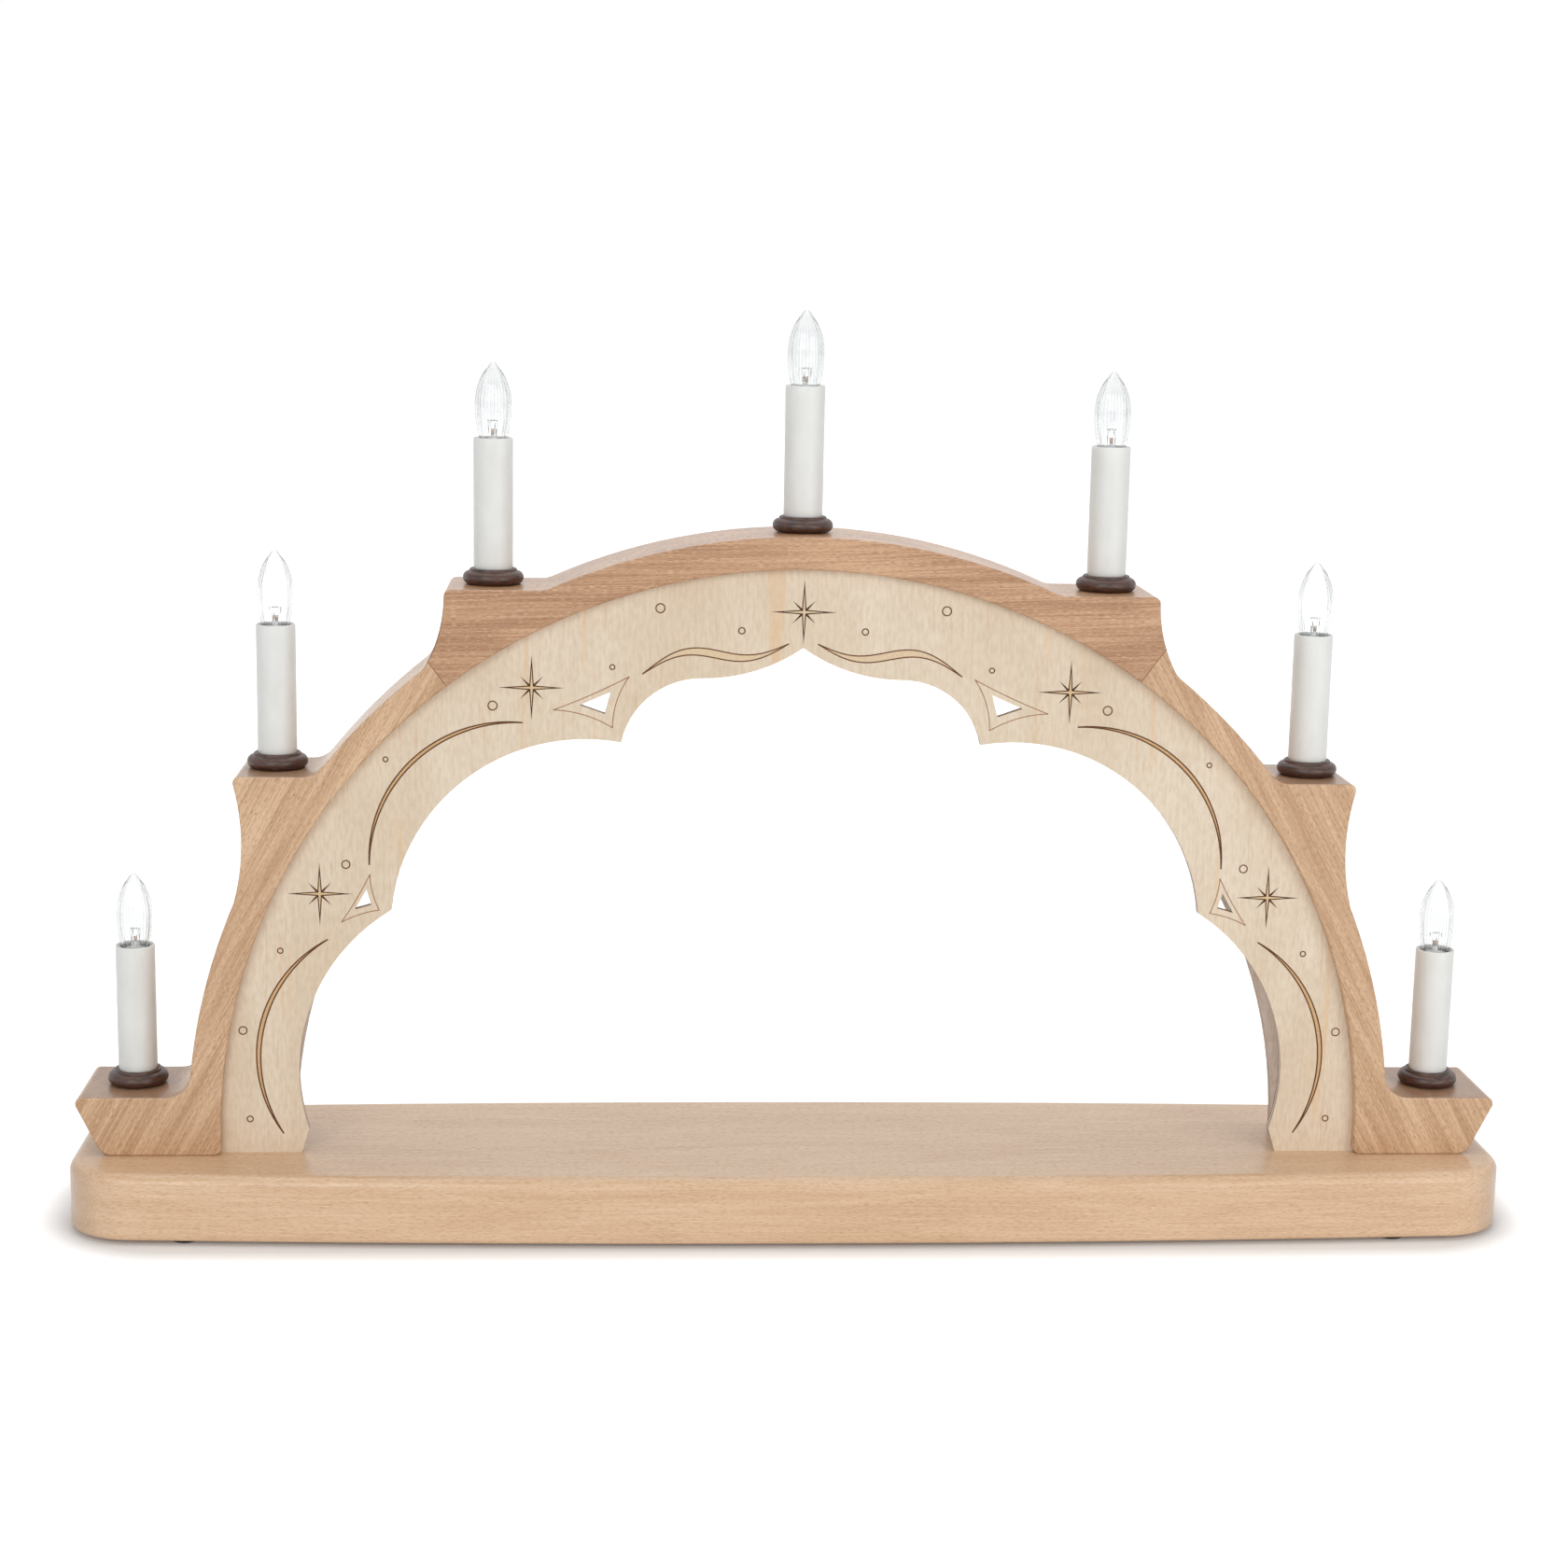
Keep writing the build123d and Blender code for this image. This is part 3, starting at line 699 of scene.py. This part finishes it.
def bulb_profile(inset, steps):
    """Profile of the glass from its seat to its tip, drawn in by a thickness.

    It is a straight seat, an arc from the neck out to the widest place, where it stands
    upright, and an arc from there to the tip.
    """
    widest = BULB_RADIUS - inset
    neck = BULB_NECK_RADIUS - inset
    seat = BULB_SEAT_RADIUS - inset
    neck_r, neck_h = from_upright(widest, BULB_WAIST, neck, -BULB_NECK_DEPTH, steps)
    tip_r, tip_h = from_upright(widest, BULB_WAIST, BULB_TIP_RADIUS, BULB_TIP - inset, steps)
    radii = np.concatenate([[seat, seat], neck_r[::-1], tip_r[1:]])
    heights = np.concatenate([[-BULB_SEAT_DEPTH, -BULB_NECK_DEPTH - 1], neck_h[::-1], tip_h[1:]])
    return radii, heights


def make_bulb(number):
    """Candle bulb with upright flutes.

    The outer radius is the profile's less a cosine ripple, which fades at the neck and tip.
    The attribute "groove" keeps the ripple, from 0 on a ridge to 1 in a groove.
    """
    sides = FLUTES * FLUTE_SIDES
    outer_r, outer_h = bulb_profile(0, steps=34)
    inner_r, inner_h = bulb_profile(BULB_WALL, steps=26)
    above_neck = np.clip((outer_h + BULB_NECK_DEPTH) / FLUTE_FADE_NECK, 0, 1)
    below_tip = np.clip((BULB_TIP - outer_h) / FLUTE_FADE_TIP, 0, 1)
    fade = above_neck * below_tip
    ripple = fade[:, None] * (0.5 - 0.5 * np.cos(FLUTES * round_angles(sides)))
    outer = outer_r[:, None] - FLUTE_DEPTH * ripple
    inner = inner_r[::-1, None] * np.ones(sides)
    radii = np.concatenate([inner, outer])
    heights = np.concatenate([inner_h[::-1], outer_h])
    points, faces = turned(radii, heights, sides, closed=False)
    points += rim_of(number)
    name, body, node = f"fluted_glass_{number}", f"bulb_{number}", f"bulb_glass_{number}"
    made = piece(name, points, faces, "glass", body, "clear_glass", [node])
    groove = made.data.attributes.new("groove", "FLOAT", "POINT")
    values = np.concatenate([np.zeros(inner.size), ripple.ravel(), [0, 0]])
    groove.data.foreach_set("value", values)


def make_cap(number):
    """Screw cap: a threaded wall over a rounded shoulder and a contact.

    The wall's radius is the cap's less a cosine ripple of 2 pi h / pitch - a, which climbs
    one pitch a turn and fades at both ends.
    """
    node = f"bulb_cap_{number}"
    x, y, rim = rim_of(number)
    _, _, low, high = centre_of(node)
    radius = radius_of(node)
    bottom, top = low - rim, high - rim
    shoulder = bottom + CONTACT_DEPTH
    rows = np.linspace(shoulder, top, THREAD_ROWS)
    fade = np.clip((rows - shoulder) / THREAD_FADE, 0, 1)
    fade = fade * np.clip((top - rows) / THREAD_FADE, 0, 1)
    turn = 2 * pi * rows[:, None] / THREAD_PITCH - round_angles(CAP_SIDES)
    wall = radius - fade[:, None] * THREAD_DEPTH * (0.5 - 0.5 * np.cos(turn))
    full = np.ones(CAP_SIDES)
    foot_r = [CONTACT_RADIUS - CONTACT_ROUND, CONTACT_RADIUS, CONTACT_RADIUS, radius - SHOULDER]
    fall = SHOULDER_FALL
    foot_h = [bottom, bottom + CONTACT_RISE, shoulder - 2 * fall, shoulder - fall]
    inner_r = [radius - CAP_WALL, radius - CAP_WALL]
    inner_h = [top, shoulder + CAP_WALL]
    radii = np.concatenate([np.outer(foot_r, full), wall, np.outer(inner_r, full)])
    heights = np.concatenate([foot_h, rows, inner_h])
    points, faces = turned(radii, heights, CAP_SIDES, closed=False)
    points += (x, y, rim)
    piece(f"screw_cap_{number}", points, faces, "cap", f"bulb_{number}", "cap_metal", [node])


def make_stem(number):
    """Glass stem with a flare and a bead, two wires and a wound filament between their tips.

    The wires run straight from foot to tip. The filament is a helix about the line between
    the tips: depth r cos t, height r sin t, with t growing evenly along the line.
    """
    place, body = rim_of(number), f"bulb_{number}"
    radii, heights = np.array([*STEM_PROFILE, (STEM_TOP_RADIUS, BEAD_HEIGHT - BEAD_RADIUS)]).T
    points, faces = turned(radii, heights, STEM_SIDES, closed=False)
    node = f"bulb_stem_{number}"
    piece(f"glass_stem_{number}", points + place, faces, "stem", body, "stem_glass", [node])
    bead_r, bead_h = profile_arc(-80, 80, 0, BEAD_HEIGHT, BEAD_RADIUS, steps=12)
    points, faces = turned(bead_r, bead_h, STEM_SIDES, closed=False)
    piece(f"bead_{number}", points + place, faces, "bead", body, "stem_glass")
    rise = np.linspace(0, 1, WIRE_STEPS)
    wires = []
    for side in (-1, 1):
        off = side * (WIRE_FOOT + (WIRE_SPREAD - WIRE_FOOT) * rise)
        path = np.stack([off, 0 * rise, WIRE_TOP * rise], axis=-1)
        wires.append(tube(path, WIRE_RADIUS, sides=10, across=np.array([0.0, 1.0, 0.0])))
    turn = np.linspace(0, COIL_TURNS * 2 * pi, COIL_TURNS * COIL_STEPS)
    along = np.linspace(-WIRE_SPREAD, WIRE_SPREAD, len(turn))
    depth, height = COIL_RADIUS * np.cos(turn), WIRE_TOP + COIL_RADIUS * np.sin(turn)
    coil = np.stack([along, depth, height], axis=-1)
    wires.append(tube(coil, COIL_WIRE_RADIUS, sides=6, across=np.array([1.0, 0.0, 0.0])))
    points, faces = joined(wires)
    piece(f"filament_{number}", points + place, faces, "wire", body, "stem_glass")


for number in CANDLES:
    make_ring(number)
    make_sleeve(number)
    make_bulb(number)
    make_cap(number)
    make_stem(number)


def make_seam(name, angle):
    """Glue line of a mitre: a thin plate in the joint, a hair proud of the wood all round.

    Its outline in distance r from the arch's centre and depth y is a rectangle with
    quarter-round corners. A point of it is (r sin a, y, centre + r cos a), moved half the
    width to each side along (cos a, 0, -sin a).
    """
    turn = radians(angle)
    low, high = corners("arch_crown")
    reach = (high[0] if angle > 0 else low[0]) / sin(turn)
    first, last = ARCH_INNER + ARCH_ARRIS, reach - ARCH_ARRIS
    near, far = low[1] + ARCH_ARRIS, high[1] - ARCH_ARRIS
    round_off = ARCH_ARRIS + SKIN / 2
    turns = ((last, far, 0), (first, far, 90), (first, near, 180), (last, near, 270))
    arcs = [profile_arc(start, start + 90, r, y, round_off, steps=6) for r, y, start in turns]
    r, y = (np.concatenate(values) for values in zip(*arcs))
    flat = np.stack([r * sin(turn), y, BASE_TOP + ARCH_CENTRE + r * cos(turn)], axis=-1)
    side = np.array([cos(turn), 0, -sin(turn)]) * MITRE_WIDTH / 2
    count = len(flat)
    faces = grid_faces(2, count) + [list(range(count))[::-1], list(range(count, 2 * count))]
    points = np.concatenate([flat + side, flat - side])
    made = piece(name, points, faces, "seam", "arch", "beech_arch", smooth=False)
    mesh = bmesh.new()
    mesh.from_mesh(made.data)
    bmesh.ops.recalc_face_normals(mesh, faces=mesh.faces)
    mesh.to_mesh(made.data)
    mesh.free()


for side, angle in zip(("left", "right"), MITRE_ANGLES):
    make_seam(f"mitre_seam_{side}", angle)


# Engraving: thin burnt skins on the front of the panel
def bow(start, end, rise, steps=36):
    """Circular arc between two points that rises to the left of the way by a height.

    With chord L and rise s the radius is (L*L/4 + s*s) / 2s, and the half angle is
    asin(L / 2R): points are R sin t along the chord and R cos t - (R - s) off it.
    """
    start, end = np.array(start, dtype=float), np.array(end, dtype=float)
    chord = np.linalg.norm(end - start)
    along = (end - start) / chord
    left = np.array([-along[1], along[0]])
    radius = (chord**2 / 4 + rise**2) / (2 * rise)
    half = asin(chord / (2 * radius))
    turn = np.linspace(-half, half, steps)[:, None]
    middle = (start + end) / 2
    return middle + radius * np.sin(turn) * along + (radius * np.cos(turn) - radius + rise) * left


def wave(start, end, swell, swing, steps=48):
    """Line between two points, off it by swell sin(pi t) - swing sin(2 pi t)."""
    share = np.linspace(0, 1, steps)[:, None]
    start, end = np.array(start, dtype=float), np.array(end, dtype=float)
    off = swell * np.sin(pi * share) - swing * np.sin(2 * pi * share)
    return start + share * (end - start) + off * np.array([0.0, 1.0])


def band(first, second, proud, closed=False):
    """Thin plate on the panel between two curves of as many points, with its back and rims.

    A point (x, h) of a curve stands at x and h above the base, once in front of the panel's
    face and once behind it. The curves change places where the outline that they make
    runs clockwise, so that the faces point outwards.
    """
    first, second = np.asarray(first, dtype=float), np.asarray(second, dtype=float)
    around = np.concatenate([first, second[::-1]])
    after = np.roll(around, -1, axis=0)
    if np.sum(around[:, 0] * after[:, 1] - after[:, 0] * around[:, 1]) < 0:
        first, second = second, first
    count = len(first)
    flat = np.concatenate([first, second, first, second])
    depth = PANEL_FRONT - np.repeat([proud, proud, -SKIN, -SKIN], count)
    points = np.stack([flat[:, 0], depth, BASE_TOP + flat[:, 1]], axis=-1)
    step = np.arange(count if closed else count - 1)
    following = (step + 1) % count
    a, b, c, d = (step + index * count for index in range(4))
    e, f, g, h = (following + index * count for index in range(4))
    sides = [(a, e, f, b), (c, d, h, g), (a, c, g, e), (b, f, h, d)]
    faces = np.concatenate([np.stack(side, axis=-1) for side in sides]).tolist()
    if not closed:
        end = count - 1
        faces.append([0, count, 3 * count, 2 * count])
        faces.append([end, end + 2 * count, end + 3 * count, end + count])
    return points, faces


def engrave(name, plate, finish):
    """One burnt plate, with the points of its tips merged."""
    made = piece(name, *plate, finish, "arch", "pale_plywood", smooth=False)
    mesh = bmesh.new()
    mesh.from_mesh(made.data)
    bmesh.ops.remove_doubles(mesh, verts=mesh.verts, dist=1e-7)
    mesh.to_mesh(made.data)
    mesh.free()


def star_outline(centre, angles, reaches):
    """Outline of four equal quarters, from the angles and reaches of one quarter's corners.

    A corner at an angle a from upright and a reach d lies at (d sin a, d cos a).
    """
    angle = np.radians((np.arange(4)[:, None] * 90 + np.array(angles)).ravel())
    reach = np.tile(reaches, 4)[:, None]
    return centre + reach * np.stack([np.sin(angle), np.cos(angle)], axis=-1)


def engrave_star(name, centre, fill):
    """Dark eight-pointed star with a paler cross inside: a line runs round each long arm."""
    centre = np.array(centre)
    notch, bend = STAR_WAIST_ANGLE, STAR_PALE_ANGLE
    reaches = (STAR_LONG, STAR_WAIST, STAR_SHORT, STAR_WAIST)
    dark = star_outline(centre, (0, notch, 45, 90 - notch), reaches)
    reaches = (STAR_PALE_LONG, *[STAR_PALE_WAIST] * 3)
    pale = star_outline(centre, (0, bend, 45, 90 - bend), reaches)
    hub = centre + (pale - centre) * STAR_HUB
    engrave(f"{name}_line", band(dark, pale, SKIN, closed=True), "dark_line")
    engrave(f"{name}_fill", band(pale, hub, SKIN_FILL, closed=True), fill)


def engrave_dot(name, x, height, width):
    """Small burnt circle: the band between two circles, one line's width apart."""
    angle = round_angles(DOT_SIDES)
    ring = np.stack([np.sin(angle), np.cos(angle)], axis=-1)
    outer = (x, height) + ring * width / 2
    inner = (x, height) + ring * (width / 2 - THIN_LINE)
    engrave(name, band(outer, inner, SKIN, closed=True), "thin_line")


def stroke(name, curve, width, finish, proud=SKIN):
    """Line of one width along a curve: the curve moved half the width to each side."""
    along = np.gradient(curve, axis=0)
    along /= np.linalg.norm(along, axis=1, keepdims=True)
    side = np.stack([-along[:, 1], along[:, 0]], axis=-1) * width / 2
    engrave(name, band(curve + side, curve - side, proud), finish)


def engrave_crescent(name, first, second, width, line, fill):
    """Crescent between two curves with the same ends: a line along each and a paler middle.

    The second line lies a little prouder than the first, so that their tips don't coincide.
    """
    stroke(f"{name}_first", first, width, line)
    stroke(f"{name}_second", second, width, line, SKIN_OVER)
    engrave(f"{name}_fill", band(first, second, SKIN_FILL), fill)


def mirrored(points, sign):
    """Points of the right half, or of the left one."""
    return [(sign * x, height) for x, height in points]


for side, sign in (("left", -1), ("right", 1)):
    for index, (x, height) in enumerate(STARS):
        fill = "star_fill" if x else "pale_fill"
        if x or sign > 0:
            engrave_star(f"star_{side}_{index}", (sign * x, height), fill)
    for index, (x, height, width) in enumerate(DOTS):
        engrave_dot(f"dot_{side}_{index}", sign * x, height, width)
    for index, (start, end, outer, inner) in enumerate(CRESCENTS):
        ends = mirrored((start, end), sign)
        arcs = bow(*ends, sign * outer), bow(*ends, sign * inner)
        engrave_crescent(f"crescent_{side}_{index}", *arcs, LINE, "line", "fill")
    ends = mirrored((SWOOSH_START, SWOOSH_END), sign)
    upper, lower = (wave(*ends, swell, SWOOSH_SWING) for swell in (SWOOSH_UPPER, SWOOSH_LOWER))
    engrave_crescent(f"swoosh_{side}", upper, lower, THIN_LINE, "thin_line", "pale_fill")
    for index, (points, rises) in enumerate(TRIANGLES):
        tips = mirrored(points, sign)
        for edge, rise in enumerate(rises):
            curve = bow(tips[edge], tips[(edge + 1) % len(tips)], sign * rise)
            stroke(f"triangle_{side}_{index}_{edge}", curve, FINE_LINE, "fine")


# Surroundings
def make_floor():
    """Pale floor that keeps the object's shadow and shows white to the camera.

    Its own glow grows with the distance from the middle, and with that from the base's
    outline, which is taken as a rectangle with rounded corners.
    """
    finish = Finish("studio_floor")
    finish.shade(Base_Color=(0.9, 0.9, 0.9, 1), Roughness=0.9, Specular_IOR_Level=0.0)
    path = finish.add("ShaderNodeLightPath").outputs
    seen = finish.math("MAXIMUM", path["Is Camera Ray"], path["Is Glossy Ray"])
    seen = finish.math("MAXIMUM", seen, path["Is Transmission Ray"])
    where = finish.place()
    low, high = (np.array(corner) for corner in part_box("base_board"))
    reach = finish.vector("SUBTRACT", where, tuple((low + high) / 2))
    reach = finish.vector("ABSOLUTE", reach)
    reach = finish.vector("SUBTRACT", reach, tuple((high - low) / 2 - FLOOR_SHADOW_CORNER))
    reach = finish.vector("MAXIMUM", reach, (0, 0, 0))
    reach = finish.vector("LENGTH", finish.vector("MULTIPLY", reach, (1, 1, 0)))
    beside = finish.math("SUBTRACT", reach, FLOOR_SHADOW_CORNER)
    far = (FLOOR_FAR_START, FLOOR_FAR_END, FLOOR_GLOW_NEAR, FLOOR_GLOW_FAR)
    near = (FLOOR_SHADOW_START, FLOOR_SHADOW_END, FLOOR_GLOW_NEAR, FLOOR_GLOW_BESIDE)
    glow = finish.ramp(finish.vector("LENGTH", where), *far)
    glow = finish.math("MAXIMUM", glow, finish.ramp(beside, *near))
    glow = finish.math("MULTIPLY", seen, glow)
    glow = finish.add("ShaderNodeEmission", {"Color": (1, 1, 1, 1), "Strength": glow})
    both = finish.add("ShaderNodeAddShader", {0: finish.shader.outputs[0], 1: glow.outputs[0]})
    surface = finish.tree.nodes["Material Output"].inputs["Surface"]
    finish.tree.links.new(both.outputs[0], surface)
    mesh = bpy.data.meshes.new("studio_floor")
    edges = ((-1, -1), (1, -1), (1, 1), (-1, 1))
    points = [(x * FLOOR_REACH, y * FLOOR_REACH, 0) for x, y in edges]
    mesh.from_pydata(points, [], [(0, 1, 2, 3)])
    mesh.materials.append(finish.material)
    floor = bpy.data.objects.new("studio_floor", mesh)
    bpy.context.scene.collection.objects.link(floor)


def make_light(name, place, size, power):
    """Square soft box aimed at the object."""
    data = bpy.data.lights.new(name, "AREA")
    data.size = size
    data.energy = power
    lamp = bpy.data.objects.new(name, data)
    bpy.context.scene.collection.objects.link(lamp)
    lamp.location = place
    away = lamp.location - Vector(LAMP_TARGET)
    lamp.rotation_euler = away.to_track_quat("Z", "Y").to_euler()


def make_world():
    """White surroundings for the camera, glass and gloss, softer light on the object."""
    world = bpy.data.worlds.new("studio")
    bpy.context.scene.world = world
    world.use_nodes = True
    tree = world.node_tree
    background = tree.nodes["Background"]
    background.inputs["Color"].default_value = (1, 1, 1, 1)
    path = tree.nodes.new("ShaderNodeLightPath").outputs
    seen = path["Is Camera Ray"]
    for ray in ("Is Transmission Ray", "Is Glossy Ray"):
        either = tree.nodes.new("ShaderNodeMath")
        either.operation = "MAXIMUM"
        tree.links.new(seen, either.inputs[0])
        tree.links.new(path[ray], either.inputs[1])
        seen = either.outputs[0]
    strength = tree.nodes.new("ShaderNodeMapRange")
    strength.inputs["To Min"].default_value = AMBIENT
    strength.inputs["To Max"].default_value = 1.0
    tree.links.new(seen, strength.inputs["Value"])
    tree.links.new(strength.outputs[0], background.inputs["Strength"])


def make_camera():
    """Camera from its heading, pitch and roll."""
    heading, pitch, roll = (radians(a) for a in (CAMERA_HEADING, CAMERA_PITCH, CAMERA_ROLL))
    forward = np.array([sin(heading) * cos(pitch), cos(heading) * cos(pitch), sin(pitch)])
    level = np.array([cos(heading), -sin(heading), 0.0])
    upright = np.cross(level, forward)
    right = cos(roll) * level + sin(roll) * upright
    up = cos(roll) * upright - sin(roll) * level
    data = bpy.data.cameras.new("photograph_view")
    data.sensor_width = CAMERA_SENSOR
    data.lens = CAMERA_LENS
    camera = bpy.data.objects.new("photograph_view", data)
    bpy.context.scene.collection.objects.link(camera)
    turn = Matrix(np.stack([right, up, -forward], axis=1).tolist()).to_4x4()
    camera.matrix_world = Matrix.Translation(CAMERA_PLACE) @ turn
    bpy.context.scene.camera = camera


make_floor()
make_world()
make_camera()
for lamp in LAMPS:
    make_light(*lamp)
bpy.context.scene.view_settings.view_transform = "Standard"
